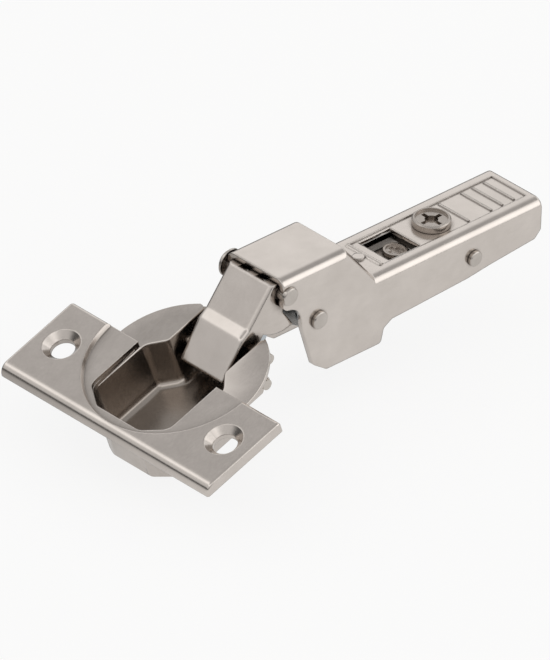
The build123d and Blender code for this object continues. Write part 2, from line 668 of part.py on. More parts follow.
# Closing spring: one wire with two coils on the inner link's pin, a long bridge that braces against the crank
# and short legs on the outer link's lobes; each coil is a plain sleeve here
coil_out = ARM_INNER - RUN_GAP
coil_in = coil_out - COIL_LONG
brace_turn = radians(BRACE_ANGLE)
brace_from = polar(INNER_PIVOT, COIL_R, BRACE_ANGLE)
brace_to = (brace_from[0] + BRACE_LONG * sin(brace_turn), brace_from[1] - BRACE_LONG * cos(brace_turn))
leg_turn = radians(LEG_ANGLE)
leg_from = polar(INNER_PIVOT, COIL_R, LEG_ANGLE)
with BuildPart() as closing_spring:
    for side in (1, -1):
        with BuildSketch(SIDE.offset(side * coil_in)):
            with Locations(INNER_PIVOT):
                Circle(COIL_R + WIRE_R)
                Circle(COIL_R - WIRE_R, mode=Mode.SUBTRACT)
        extrude(amount=side * COIL_LONG)
        brace_root = (side * (coil_in + WIRE_R), PIVOT_Y + brace_from[0], PIVOT_Z + brace_from[1])
        with BuildSketch(Plane(origin=brace_root, z_dir=(0, sin(brace_turn), -cos(brace_turn)))):
            Circle(LEG_R)
        extrude(amount=BRACE_LONG)
        leg_root = (side * (coil_out - WIRE_R), PIVOT_Y + leg_from[0], PIVOT_Z + leg_from[1])
        with BuildSketch(Plane(origin=leg_root, z_dir=(0, -sin(leg_turn), cos(leg_turn)))):
            Circle(LEG_R)
        extrude(amount=LEG_LONG)
    with BuildSketch(SIDE):
        with Locations(brace_to):
            Circle(LEG_R)
    extrude(amount=coil_in + WIRE_R, both=True)
closing_spring.part.label = "closing_spring"

# Release lever: a bent strip that hooks the mounting plate below and is pressed at the arm's rear end
with BuildPart() as release_lever:
    with BuildSketch(SIDE):
        with BuildLine():
            lever_line = FilletPolyline(*LEVER_LINE, radius=LEVER_BEND)
        trace(lever_line, line_width=SHEET)
        with Locations(LEVER_PIVOT):
            Circle(LEVER_EYE_R)
            Circle(LEVER_PIN_R + RUN_GAP, mode=Mode.SUBTRACT)
    extrude(amount=LEVER_HALF, both=True)
release_lever.part.label = "release_lever"

pieces = [
    hinge_cup,
    flange_plate,
    cup_pin_front,
    cup_pin_rear,
    outer_link,
    inner_link,
    hinge_arm,
    outer_link_pin,
    inner_link_pin,
    tilt_pin,
    clip_carrier,
    lever_pin,
    depth_screw,
    side_screw,
    closing_spring,
    release_lever,
]
os.makedirs("parts", exist_ok=True)
for piece in pieces:
    export_step(piece.part, f"parts/{piece.part.label}.step")
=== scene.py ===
"""Looks for the concealed cup hinge: finishes, a cup and a spring drawn anew, floor, light and camera."""

import logging
from dataclasses import dataclass
from enum import Enum
from math import atan2, cos, pi, radians, sin, sqrt, tan
from typing import Any, Callable, Sequence

import bmesh
import bpy
from mathutils import Matrix, Vector


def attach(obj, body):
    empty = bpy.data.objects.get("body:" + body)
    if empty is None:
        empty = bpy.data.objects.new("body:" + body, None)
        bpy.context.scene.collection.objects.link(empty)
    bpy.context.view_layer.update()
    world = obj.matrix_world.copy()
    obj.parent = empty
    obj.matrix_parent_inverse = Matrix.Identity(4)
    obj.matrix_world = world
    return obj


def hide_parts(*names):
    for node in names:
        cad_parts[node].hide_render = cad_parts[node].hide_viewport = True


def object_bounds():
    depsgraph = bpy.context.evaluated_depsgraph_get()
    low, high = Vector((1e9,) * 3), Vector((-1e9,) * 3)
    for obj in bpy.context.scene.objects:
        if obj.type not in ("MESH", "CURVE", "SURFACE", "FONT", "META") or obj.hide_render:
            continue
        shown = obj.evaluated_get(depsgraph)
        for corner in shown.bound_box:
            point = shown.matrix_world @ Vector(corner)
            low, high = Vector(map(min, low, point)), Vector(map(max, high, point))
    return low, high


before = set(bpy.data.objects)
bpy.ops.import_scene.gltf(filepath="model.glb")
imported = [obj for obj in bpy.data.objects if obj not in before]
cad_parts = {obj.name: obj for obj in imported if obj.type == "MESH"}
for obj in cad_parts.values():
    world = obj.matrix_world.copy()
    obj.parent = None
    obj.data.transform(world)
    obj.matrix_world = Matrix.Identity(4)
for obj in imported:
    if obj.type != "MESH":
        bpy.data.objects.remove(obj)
CAD_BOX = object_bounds()

LOG = logging.getLogger("cup_hinge")
MM = 0.001


def linear(hex_colour: str) -> tuple[float, float, float, float]:
    """Turns an sRGB hex colour into linear light, by the standard curve.

    Args:
        hex_colour: Colour as six hex digits, with or without a leading hash.

    Returns:
        Red, green, blue and alpha in linear light.
    """
    digits = hex_colour.lstrip("#")
    channels = [int(digits[i : i + 2], 16) / 255 for i in (0, 2, 4)]
    red, green, blue = (c / 12.92 if c <= 0.04045 else ((c + 0.055) / 1.055) ** 2.4 for c in channels)
    return (red, green, blue, 1.0)


def node(
    tree: bpy.types.NodeTree,
    kind: str,
    settings: dict[str, Any] | None = None,
    values: dict[str | int, Any] | None = None,
    links: dict[str | int, bpy.types.NodeSocket] | None = None,
) -> bpy.types.Node:
    """Adds a node with its settings, socket values and incoming links.

    Args:
        tree: Node tree that takes the node.
        kind: Blender's name for the node type.
        settings: Attributes of the node.
        values: Default values of its input sockets.
        links: Sockets that feed its input sockets.

    Returns:
        The new node.
    """
    new = tree.nodes.new(kind)
    for name, value in (settings or {}).items():
        setattr(new, name, value)
    for socket, value in (values or {}).items():
        new.inputs[socket].default_value = value
    for socket, source in (links or {}).items():
        tree.links.new(source, new.inputs[socket])
    return new


class Surface(Enum):
    """How a metal surface was made. The value scales its grain: below 1 draws it out along that axis."""

    ROLLED = (1.0, 0.12, 1.0)
    TURNED = (1.0, 1.0, 0.3)


@dataclass(frozen=True)
class PlatedMetal:
    """Nickel or zinc plating over steel or a casting.

    Rolled sheet shows faint streaks along the strip, and a turned or headed part a short, even grain.
    """

    name: str
    colour: str
    shade: str
    roughness: float
    surface: Surface
    # The real grain is finer than a pixel, so it is drawn as coarse as it needs to show.
    grain: float = 0.35 * MM
    grain_share: float = 0.35
    cloud: float = 6 * MM
    tone_from: float = 0.45
    tone_to: float = 0.9
    roughness_swing: float = 0.03
    bump: float = 0.002 * MM
    # Radius by which the shading rounds an edge.
    edge: float = 0.12 * MM
    # Painted shade in hollows: its colour, the reach within which walls count, the open share at which the
    # colour starts to turn, and how far below that share the turn is complete.
    hollow: str | None = None
    hollow_reach: float = 9 * MM
    hollow_from: float = 0.8
    hollow_fade: float = 0.45

    def material(self) -> bpy.types.Material:
        """Builds the finish as a node material.

        Returns:
            The material, named for what it is.
        """
        made = bpy.data.materials.new(self.name)
        made.use_nodes = True
        tree = made.node_tree
        tree.nodes.clear()
        place = node(tree, "ShaderNodeTexCoord")
        laid = node(
            tree,
            "ShaderNodeMapping",
            values={"Scale": self.surface.value},
            links={"Vector": place.outputs["Object"]},
        )
        grain = node(
            tree,
            "ShaderNodeTexNoise",
            values={"Scale": 1 / self.grain, "Detail": 3.0, "Roughness": 0.6},
            links={"Vector": laid.outputs["Vector"]},
        )
        cloud = node(
            tree,
            "ShaderNodeTexNoise",
            values={"Scale": 1 / self.cloud, "Detail": 4.0, "Roughness": 0.55},
            links={"Vector": place.outputs["Object"]},
        )
        both = node(
            tree,
            "ShaderNodeMath",
            settings={"operation": "MULTIPLY_ADD"},
            values={1: self.grain_share},
            links={0: grain.outputs["Fac"], 2: cloud.outputs["Fac"]},
        )
        tone = node(
            tree,
            "ShaderNodeMapRange",
            values={"From Min": self.tone_from, "From Max": self.tone_to},
            links={"Value": both.outputs[0]},
        )
        colour = node(
            tree,
            "ShaderNodeMix",
            settings={"data_type": "RGBA"},
            values={6: linear(self.shade), 7: linear(self.colour)},
            links={0: tone.outputs["Result"]},
        )
        tint = colour.outputs[2]
        # Painted shade in hollows, where the finish gives a hollow colour.
        if self.hollow is not None:
            tint = self.with_painted_shade(tree, tint)
        dull = node(
            tree,
            "ShaderNodeMapRange",
            values={
                "From Min": 0.3,
                "From Max": 0.7,
                "To Min": self.roughness - self.roughness_swing,
                "To Max": self.roughness + self.roughness_swing,
            },
            links={"Value": grain.outputs["Fac"]},
        )
        soft_edge = node(tree, "ShaderNodeBevel", settings={"samples": 8}, values={"Radius": self.edge})
        relief = node(
            tree,
            "ShaderNodeBump",
            values={"Strength": 1.0, "Distance": self.bump},
            links={"Height": grain.outputs["Fac"], "Normal": soft_edge.outputs["Normal"]},
        )
        shader = node(
            tree,
            "ShaderNodeBsdfPrincipled",
            values={"Metallic": 1.0},
            links={
                "Base Color": tint,
                "Roughness": dull.outputs["Result"],
                "Normal": relief.outputs["Normal"],
            },
        )
        node(tree, "ShaderNodeOutputMaterial", links={"Surface": shader.outputs["BSDF"]})
        return made

    def with_painted_shade(self, tree: bpy.types.NodeTree, tint: bpy.types.NodeSocket) -> bpy.types.NodeSocket:
        """Mixes painted shade in where the surface lies deep in a hollow and sees little open space.

        Args:
            tree: Node tree of the finish.
            tint: Colour of the open surface.

        Returns:
            The mixed colour.
        """
        open_share = node(
            tree,
            "ShaderNodeAmbientOcclusion",
            settings={"samples": 12},
            values={"Distance": self.hollow_reach},
        )
        share = node(
            tree,
            "ShaderNodeMapRange",
            values={"From Min": self.hollow_from - self.hollow_fade, "From Max": self.hollow_from},
            links={"Value": open_share.outputs["AO"]},
        )
        mixed = node(
            tree,
            "ShaderNodeMix",
            settings={"data_type": "RGBA"},
            values={6: linear(self.hollow)},
            links={0: share.outputs["Result"], 7: tint},
        )
        return mixed.outputs[2]


def dress(names: list[str], material: bpy.types.Material) -> None:
    """Gives CAD nodes a material in place of their plain one.

    Args:
        names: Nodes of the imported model.
        material: Finish that they get.
    """
    for name in names:
        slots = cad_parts[name].data.materials
        slots.clear()
        slots.append(material)
        LOG.info("dressed %s in %s", name, material.name)


def from_rings(name: str, rings: list[list[Vector]]) -> bpy.types.Object:
    """Makes a closed solid through rings of points that have the same count.

    Args:
        name: Name of the new object.
        rings: Rings from one end to the other.

    Returns:
        The solid as an object, its two ends closed by one face each.
    """
    work = bmesh.new()
    rows = [[work.verts.new(point) for point in ring] for ring in rings]
    count = len(rows[0])
    for lower, upper in zip(rows, rows[1:]):
        for i in range(count):
            j = (i + 1) % count
            work.faces.new((lower[i], lower[j], upper[j], upper[i]))
    work.faces.new(list(reversed(rows[0])))
    work.faces.new(rows[-1])
    if work.calc_volume(signed=True) < 0:
        bmesh.ops.reverse_faces(work, faces=work.faces[:])
    mesh = bpy.data.meshes.new(name)
    work.to_mesh(mesh)
    work.free()
    made = bpy.data.objects.new(name, mesh)
    bpy.context.collection.objects.link(made)
    return made


def combine(target: bpy.types.Object, tool: bpy.types.Object, operation: str) -> None:
    """Joins, cuts or clips a solid with another one, which is then removed.

    Args:
        target: Solid that is changed.
        tool: Solid that changes it.
        operation: UNION, DIFFERENCE or INTERSECT.
    """
    change = target.modifiers.new(tool.name, "BOOLEAN")
    change.operation = operation
    change.solver = "EXACT"
    change.object = tool
    bpy.context.view_layer.update()
    ready = target.evaluated_get(bpy.context.evaluated_depsgraph_get())
    mesh = bpy.data.meshes.new_from_object(ready)
    old = target.data
    target.modifiers.remove(change)
    target.data = mesh
    bpy.data.meshes.remove(old)
    bpy.data.objects.remove(tool)


def weld(piece: bpy.types.Object, reach: float = 0.001 * MM) -> None:
    """Joins points that lie almost on top of each other and drops faces without width.

    Args:
        piece: Mesh object.
        reach: Distance in metres within which points are joined.
    """
    work = bmesh.new()
    work.from_mesh(piece.data)
    bmesh.ops.remove_doubles(work, verts=work.verts[:], dist=reach)
    bmesh.ops.dissolve_degenerate(work, dist=reach, edges=work.edges[:])
    work.to_mesh(piece.data)
    work.free()


def smooth(piece: bpy.types.Object, sharp_over: float = 34.0) -> None:
    """Shades a piece smooth, with sharp edges where it turns more than an angle.

    Args:
        piece: Mesh object.
        sharp_over: Angle in degrees.
    """
    piece.data.shade_smooth()
    piece.data.set_sharp_from_angle(angle=radians(sharp_over))


def both_sides(right: Sequence[tuple[float, ...]]) -> tuple[tuple[float, ...], ...]:
    """Completes a plan from its right half.

    Args:
        right: Points or corners of the right half, each led by its place across.

    Returns:
        The right half, then its mirror image in backward order.
    """
    return (*right, *((-across, *rest) for across, *rest in reversed(right)))


@dataclass(frozen=True)
class RoundedOutline:
    """Closed outline in a plane, counter-clockwise, with a round at each corner.

    A corner holds its place across, its place along and the radius of its round.
    """

    corners: tuple[tuple[float, ...], ...]
    steps: int = 9
    least_round: float = 0.05

    def points(self, growth: Callable[[float], float]) -> list[Vector]:
        """Walks round the outline after it has grown or shrunk.

        Args:
            growth: Growth outwards in millimetres at each corner, by its place along the cup.

        Returns:
            Places in millimetres, evenly spaced over each corner's round.
        """
        found: list[Vector] = []
        count = len(self.corners)
        for i, (x, y, radius) in enumerate(self.corners):
            here = Vector((x, y))
            before = Vector(self.corners[i - 1][:2])
            after = Vector(self.corners[(i + 1) % count][:2])
            come = (here - before).normalized()
            leave = (after - here).normalized()
            first = Vector((come.y, -come.x))
            last = Vector((leave.y, -leave.x))
            middle = (first + last).normalized()
            side = 1.0 if come.x * leave.y - come.y * leave.x > 0 else -1.0
            grown = growth(y)
            around = max(radius + side * grown, self.least_round)
            centre = here + middle * (grown - side * around) / middle.dot(first)
            start = atan2(first.y, first.x)
            turn = (atan2(last.y, last.x) - start + pi) % (2 * pi) - pi
            for k in range(self.steps + 1):
                angle = start + turn * k / self.steps
                found.append(centre + Vector((cos(angle), sin(angle))) * side * around)
        return found


@dataclass
class CupShell:
    """The cup with its pocket, in place of the plain CAD cup.

    Its front is flat between two slanting corners, its lip is rounded and its rear leans in as it goes
    deeper. Lengths are in millimetres and angles in degrees, in the cup's own frame: x across, y towards
    the arm and z up out of the pocket.
    """

    origin: tuple[float, float, float] = (0.0, -67.6, 11.55)
    tilt: float = 20.0

    # Disc and rim; rim_gap keeps the round faces of the wall and the seat off the rim's own.
    rim_radius: float = 17.5
    rim_thick: float = 1.0
    rim_bevel: float = 0.1
    rim_gap: float = 0.02
    top: float = 2.8
    disc_steps: int = 128
    rod_steps: int = 40

    # Outer wall, clipped by a disc of limit_span; a bite is how far one solid reaches into the next.
    depth: float = 14.45
    wall_bite: float = 0.15
    wall_taper: float = 0.15
    outer_foot: float = 0.8
    foot_steps: int = 6
    body_corners: tuple[tuple[float, ...], ...] = (
        (5.6, -17.1, 0.8),
        (12.0, -12.9, 1.5),
        (12.0, 1.6, 2.5),
        (8.8, 5.0, 1.2),
        (8.8, 17.6, 0.3),
    )
    limit_span: tuple[float, float] = (-20.0, 5.0)
    limit_bevel: float = 0.01

    # The rear's lean starts at lean_from along the cup and is full from lean_full on.
    rear_lean: float = 30.0
    lean_from: float = 6.4
    lean_full: float = 16.9

    # Raised seat under the flange plate, kept within the box from seat_low to seat_high.
    bite: float = 0.5
    seat_top: float = -1.92
    seat_bevel: float = 0.05
    seat_low: tuple[float, float, float] = (-20.0, -20.0, -6.0)
    seat_high: tuple[float, float, float] = (20.0, -1.1, 2.0)

    # Pocket; wall_start is how much the outline has grown at the foot of the lip.
    floor: float = 13.3
    draft: float = 7.0
    inner_foot: float = 1.8
    hollow_top: float = 2.0
    wall_start: float = -0.01
    pocket_corners: tuple[tuple[float, ...], ...] = (
        (5.9, -16.5, 2.8),
        (10.8, -13.15, 2.8),
        (10.85, 1.0, 2.8),
    )
    lip: float = 0.55
    lip_steps: int = 5
    lip_from: float = -1.3
    lip_spread: float = 0.8
    lip_least: float = 0.02

    # Slot through the rear wall, and the box that opens it.
    slot_half: float = 7.7
    slot_start: float = 4.4
    slot_round: float = 1.6
    slot_end: float = 16.9
    slot_end_round: float = 0.3
    slot_open: float = 10.8
    slot_draft_from: float = 0.9
    cut_from: float = 9.0
    cut_to: float = 30.0
    cut_top: float = 3.0

    # Notch in the rim behind the slot.
    notch_round: float = 1.5
    notch_steps: int = 10
    notch_from: float = 8.0
    notch_flare: float = 6.0
    notch_past: float = 1.0

    # Lugs that hold the front pin, and the bores of both pins.
    lug_inner: float = 12.2
    lug_outer: float = 13.2
    lug_radius: float = 1.4
    stem_past: float = 0.2
    pin_at: tuple[float, float] = (9.0, -6.8)
    rear_pin_at: tuple[float, float] = (13.8, -6.4)
    pin_radius: float = 1.1
    pin_play: float = 0.01
    bore_half: float = 20.0

    # Faces that get the inner finish, with its painted shade: where they lie, and how they face.
    inside_half: float = 10.9
    inside_front: float = -16.9
    inside_below: float = 0.3
    end_from: float = 9.0
    end_facing: float = 0.3
    side_facing: float = 0.5
    floor_facing: float = 0.6

    # Nickel in the pocket: painted darker than outside as its shade, duller, and with a short, even grain.
    inside: PlatedMetal = PlatedMetal(
        "nickel_plated_cup_painted_shade", "#b4aba3", "#a59c94", 0.22, Surface.TURNED
    )

    def place(self, x: float, y: float, z: float) -> Vector:
        """Turns a point of the cup's own frame into the shared frame.

        Args:
            x: Across, in millimetres.
            y: Towards the arm.
            z: Up out of the pocket.

        Returns:
            The point in metres.
        """
        lean = radians(self.tilt)
        base = Vector(self.origin)
        return (base + Vector((x, y * cos(lean) - z * sin(lean), y * sin(lean) + z * cos(lean)))) * MM

    def turned_back(self, y: float, z: float) -> tuple[float, float]:
        """Turns the Y and Z of a direction in the shared frame into the cup's own frame."""
        lean = radians(self.tilt)
        return (y * cos(lean) + z * sin(lean), z * cos(lean) - y * sin(lean))

    def leaned(self, y: float, z: float) -> float:
        """Draws the rear of the cup in as it goes deeper.

        Args:
            y: Place along the cup.
            z: Height, negative down.

        Returns:
            The place at that depth.
        """
        share = min(max((y - self.lean_from) / (self.lean_full - self.lean_from), 0.0), 1.0)
        return y - share * max(-z - self.top, 0.0) * tan(radians(self.rear_lean))

    def loft(
        self,
        name: str,
        outline: RoundedOutline,
        levels: list[tuple[float, float]],
        share: Callable[[float], float] = lambda _: 1.0,
    ) -> bpy.types.Object:
        """Makes a solid from one outline at several heights, with its rear leaning in.

        Args:
            name: Name of the solid.
            outline: Outline in the cup's plan.
            levels: Pairs of height and growth of the outline.
            share: How much of an outward growth shows, by place along the cup.

        Returns:
            The solid.
        """
        rings = []
        for z, growth in levels:
            spots = outline.points(lambda y, g=growth: g if g <= 0 else g * share(y))
            rings.append([self.place(spot.x, self.leaned(spot.y, z), z) for spot in spots])
        return from_rings(name, rings)

    def disc(self, name: str, radius: float, low: float, high: float, bevel: float) -> bpy.types.Object:
        """Makes a round disc with small bevels.

        Args:
            name: Name of the solid.
            radius: Radius in millimetres.
            low: Lower face.
            high: Upper face.
            bevel: Bevel of both edges.

        Returns:
            The solid.
        """
        turns = [2 * pi * i / self.disc_steps for i in range(self.disc_steps)]
        levels = (
            (low, radius - bevel),
            (low + bevel, radius),
            (high - bevel, radius),
            (high, radius - bevel),
        )
        return from_rings(name, [[self.place(r * cos(t), r * sin(t), z) for t in turns] for z, r in levels])

    def rod(
        self,
        name: str,
        at: tuple[float, float],
        radius: float,
        low: float,
        high: float,
    ) -> bpy.types.Object:
        """Makes a round rod across the cup.

        Args:
            name: Name of the solid.
            at: Place in the cup's section.
            radius: Radius in millimetres.
            low: Lowest place across.
            high: Highest place across.

        Returns:
            The solid.
        """
        y, z = at
        turns = [2 * pi * i / self.rod_steps for i in range(self.rod_steps)]
        section = [(y + radius * cos(t), z + radius * sin(t)) for t in turns]
        return from_rings(name, [[self.place(x, *spot) for spot in section] for x in (low, high)])

    def block(
        self,
        name: str,
        low: tuple[float, float, float],
        high: tuple[float, float, float],
    ) -> bpy.types.Object:
        """Makes a box in the cup's frame, used only to cut or to join.

        Args:
            name: Name of the solid.
            low: Lowest corner.
            high: Highest corner.

        Returns:
            The solid.
        """
        (x0, y0, z0), (x1, y1, z1) = low, high
        plan = ((x0, y0), (x1, y0), (x1, y1), (x0, y1))
        return from_rings(name, [[self.place(x, y, z) for x, y in plan] for z in (z0, z1)])

    def pocket_outline(self) -> RoundedOutline:
        """Gives the plan of the pocket and its slot at their top."""
        slot = (
            (self.slot_half, self.slot_start, self.slot_round),
            (self.slot_half, self.slot_end, self.slot_end_round),
        )
        return RoundedOutline(both_sides((*self.pocket_corners, *slot)))

    def body_outline(self) -> RoundedOutline:
        """Gives the plan of the outer wall, with its flat front between two slanting corners."""
        return RoundedOutline(both_sides(self.body_corners))

    def foot_round(self, z: float, growth: float, radius: float) -> list[tuple[float, float]]:
        """Rounds a wall into the floor below it.

        Args:
            z: Height at which the round starts.
            growth: Growth of the outline there.
            radius: Radius of the round.

        Returns:
            Pairs of height and growth.
        """
        turns = [k * pi / (2 * self.foot_steps) for k in range(1, self.foot_steps + 1)]
        return [(z - radius * sin(turn), growth - radius * (1 - cos(turn))) for turn in turns]

    def lip_share(self, y: float) -> float:
        """Says how much of the lip's rounding shows at a place: almost none under the flange plate.

        Args:
            y: Place along the cup.

        Returns:
            Share from lip_least to 1.
        """
        return min(max((y - self.lip_from) / self.lip_spread, self.lip_least), 1.0)

    def outer_body(self, inward: float) -> bpy.types.Object:
        """Makes the outer wall, the rim with its notch and the seat under the flange plate.

        Args:
            inward: Slope of the pocket's walls.

        Returns:
            The three as one solid.
        """
        foot = -self.depth + self.outer_foot
        levels = [(-self.top - self.rim_thick + self.wall_bite, 0.0), (foot, -self.wall_taper)]
        levels += self.foot_round(foot, -self.wall_taper, self.outer_foot)
        cup = self.loft("drawn_cup", self.body_outline(), levels)
        within = self.rim_radius - self.rim_gap
        combine(cup, self.disc("cup_limit", within, *self.limit_span, self.limit_bevel), "INTERSECT")
        rim = self.disc("cup_rim", self.rim_radius, -self.top - self.rim_thick, -self.top, self.rim_bevel)
        combine(rim, self.rim_notch(inward), "DIFFERENCE")
        combine(cup, rim, "UNION")
        seat = self.disc("cup_seat", within, -self.top - self.bite, self.seat_top, self.seat_bevel)
        combine(seat, self.block("seat_limit", self.seat_low, self.seat_high), "INTERSECT")
        combine(cup, seat, "UNION")
        return cup

    def rim_notch(self, inward: float) -> bpy.types.Object:
        """Makes the cutter of the rim's notch, which flares out with a round at both corners.

        Args:
            inward: Slope of the pocket's walls.

        Returns:
            The cutter.
        """
        corner = self.notch_round
        half = self.slot_half - self.top * inward
        reach = sqrt((self.rim_radius - corner) ** 2 - (half + corner) ** 2)
        end = atan2(reach, half + corner)
        right = [(half, self.notch_from)]
        for k in range(self.notch_steps + 1):
            angle = pi + (end - pi) * k / self.notch_steps
            right.append((half + corner + corner * cos(angle), reach + corner * sin(angle)))
        x, y = right[-1]
        right.append((x + self.notch_flare * cos(end), y + self.notch_flare * sin(end)))
        plan = both_sides(right)
        span = (-self.top - self.rim_thick - self.notch_past, self.notch_past)
        return from_rings("rim_notch", [[self.place(x, y, z) for x, y in plan] for z in span])

    def hollow(self, inward: float) -> bpy.types.Object:
        """Makes the cutter of the pocket, from its rounded lip down to its rounded foot.

        Args:
            inward: Slope of the pocket's walls.

        Returns:
            The cutter.
        """
        lip = self.lip
        levels = [(self.hollow_top, lip), (-self.top, lip)]
        for k in range(1, self.lip_steps):
            turn = pi / 2 * (1 - k / self.lip_steps)
            levels.append((-self.top - lip * (1 - sin(turn)), lip * (1 - cos(turn))))
        foot = -self.floor + self.inner_foot
        growth = (foot + self.top) * inward
        levels += [(-self.top - lip, self.wall_start), (foot, growth)]
        levels += self.foot_round(foot, growth, self.inner_foot)
        return self.loft("cup_hollow", self.pocket_outline(), levels, self.lip_share)

    def slot_opening(self, inward: float) -> bpy.types.Object:
        """Makes the cutter that opens the slot to the rear.

        Args:
            inward: Slope of the pocket's walls.

        Returns:
            The cutter.
        """
        rings = []
        for z in (self.cut_top, -self.slot_open):
            half = self.slot_half - max(-z - self.slot_draft_from, 0.0) * inward
            plan = ((-half, self.cut_from), (half, self.cut_from), (half, self.cut_to), (-half, self.cut_to))
            rings.append([self.place(x, y, z) for x, y in plan])
        return from_rings("slot_opening", rings)

    def add_lugs(self, cup: bpy.types.Object) -> None:
        """Joins the two lugs that hold the front pin to the cup.

        Args:
            cup: The cup.
        """
        along, height = self.pin_at
        for side in (-1, 1):
            low, high = sorted((side * self.lug_inner, side * self.lug_outer))
            lug = self.rod("pin_lug", self.pin_at, self.lug_radius, low, high)
            stem_low = (low, along - self.lug_radius, height)
            stem_high = (high, along + self.stem_past, -self.top - self.bite)
            combine(lug, self.block("lug_stem", stem_low, stem_high), "UNION")
            combine(cup, lug, "UNION")

    def build(self, outside: bpy.types.Material) -> None:
        """Makes the cup and puts it in the CAD cup's place.

        Args:
            outside: Finish of the outer faces.
        """
        inward = tan(radians(self.draft))
        cup = self.outer_body(inward)
        combine(cup, self.hollow(inward), "DIFFERENCE")
        combine(cup, self.slot_opening(inward), "DIFFERENCE")
        self.add_lugs(cup)
        for name, at in (("front_bore", self.pin_at), ("rear_bore", self.rear_pin_at)):
            bore = self.rod(name, at, self.pin_radius + self.pin_play, -self.bore_half, self.bore_half)
            combine(cup, bore, "DIFFERENCE")
        weld(cup)
        smooth(cup)
        cup.data.materials.clear()
        cup.data.materials.append(outside)
        cup.data.materials.append(self.inside.material())
        self.mark_painted_shade_faces(cup)
        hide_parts("hinge_cup")
        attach(cup, "cup")
        LOG.info("drawn_cup: %d faces", len(cup.data.polygons))

    def mark_painted_shade_faces(self, cup: bpy.types.Object) -> None:
        """Gives the hollow's walls and floor the inner finish, whose darker colour is painted shade.

        Args:
            cup: The cup, whose second material is the inner finish.
        """
        for face in cup.data.polygons:
            back = face.center / MM - Vector(self.origin)
            y, z = self.turned_back(back.y, back.z)
            along, up = self.turned_back(face.normal.y, face.normal.z)
            side = -face.normal.x * back.x > self.side_facing
            front = y < -self.end_from and along > self.end_facing
            rear = y > self.end_from and along < -self.end_facing
            narrow = abs(back.x) < self.inside_half and y > self.inside_front
            deep = z < -self.top - self.inside_below
            if deep and narrow and (side or front or rear or up > self.floor_facing):
                face.material_index = 1


@dataclass
class ClosingSpring:
    """Double torsion spring on the inner link's pin, one wire with two coils, in millimetres and degrees."""

    wire: float = 0.35
    wire_resolution: int = 4
    coil: float = 1.88
    turns: float = 2.03
    turn_steps: int = 36
    pitch: float = 0.7
    inner_x: float = 4.9
    at: tuple[float, float] = (-37.7, 12.4)
    start: float = 110.0
    brace: float = 11.2
    bend: float = 0.8
    bend_steps: int = 5
    leg: float = 3.1
    sharp_over: float = 50.0

    def build(self, finish: bpy.types.Material) -> None:
        """Makes the spring and puts it in the place of the plain CAD one.

        Args:
            finish: Finish of the wire.
        """
        right = self.half()
        left = [Vector((-p.x, p.y, p.z)) for p in reversed(right)]
        points = [*left, *right]
        line = bpy.data.curves.new("closing_wire", "CURVE")
        line.dimensions = "3D"
        line.bevel_depth = self.wire * MM
        line.bevel_resolution = self.wire_resolution
        line.use_fill_caps = True
        run = line.splines.new("POLY")
        run.points.add(len(points) - 1)
        for spot, point in zip(run.points, points):
            spot.co = (*(point * MM), 1.0)
        drawn = bpy.data.objects.new("closing_wire", line)
        bpy.context.collection.objects.link(drawn)
        bpy.context.view_layer.update()
        ready = drawn.evaluated_get(bpy.context.evaluated_depsgraph_get())
        mesh = bpy.data.meshes.new_from_object(ready)
        bpy.data.objects.remove(drawn)
        mesh.name = "closing_spring_wire"
        piece = bpy.data.objects.new("closing_spring_wire", mesh)
        bpy.context.collection.objects.link(piece)
        weld(piece)
        smooth(piece, self.sharp_over)
        mesh.materials.clear()
        mesh.materials.append(finish)
        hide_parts("closing_spring")
        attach(piece, "arm")
        LOG.info("closing_spring_wire: %d faces", len(mesh.polygons))

    def half(self) -> list[Vector]:
        """Works out the wire's line on one side, from the middle of the bridge to the tip of the short leg.

        Returns:
            Points in millimetres.
        """
        first = radians(self.start)
        root = self.on_coil(first, self.inner_x)
        away = Vector((0.0, sin(first), -cos(first)))
        far = root + away * self.brace
        points = [Vector((0.0, far.y, far.z)), Vector((far.x - self.bend, far.y, far.z))]
        for k in range(1, self.bend_steps + 1):
            angle = k * pi / (2 * self.bend_steps)
            inward = Vector((self.bend * (1 - sin(angle)), 0.0, 0.0))
            points.append(far - away * self.bend * (1 - cos(angle)) - inward)
        count = int(self.turns * self.turn_steps)
        for k in range(count + 1):
            share = k / count
            angle = first + 2 * pi * self.turns * share
            points.append(self.on_coil(angle, self.inner_x + self.pitch * self.turns * share))
        last = first + 2 * pi * self.turns
        tip = Vector((0.0, -sin(last), cos(last)))
        points.append(points[-1] + tip * self.leg)
        return points

    def on_coil(self, angle: float, x: float) -> Vector:
        """Gives a point of the coil.

        Args:
            angle: Angle round the pin.
            x: Place across.

        Returns:
            The point in millimetres.
        """
        return Vector((x, self.at[0] + self.coil * cos(angle), self.at[1] + self.coil * sin(angle)))


@dataclass
class CupAssembly:
    """The cup, its flange plate and the two pins across it."""

    # Nickel on the cup's outside: bright and smooth, with faint streaks.
    cup: PlatedMetal = PlatedMetal("nickel_plated_casting", "#d3cbc4", "#c6beb7", 0.17, Surface.ROLLED)
    # Nickel on pressed sheet: bright and smooth, with soft edges and painted shade in its creases.
    plate: PlatedMetal = PlatedMetal(
        "nickel_plated_flange_sheet",
        "#d6cec7",
        "#ccc4bd",
        0.17,
        Surface.ROLLED,
        edge=0.3 * MM,
        hollow="#4a4038",
        hollow_reach=2.5 * MM,
        hollow_from=0.97,
    )
    # Nickel on turned pins: even, and a little duller than the sheet.
    pins: PlatedMetal = PlatedMetal("nickel_plated_cup_pin", "#cfc8c0", "#c4bdb6", 0.22, Surface.TURNED)

    def dress(self) -> None:
        """Gives the cup's pieces their finishes."""
        CupShell().build(self.cup.material())
        dress(["flange_plate"], self.plate.material())
        dress(["cup_pin_front", "cup_pin_rear"], self.pins.material())


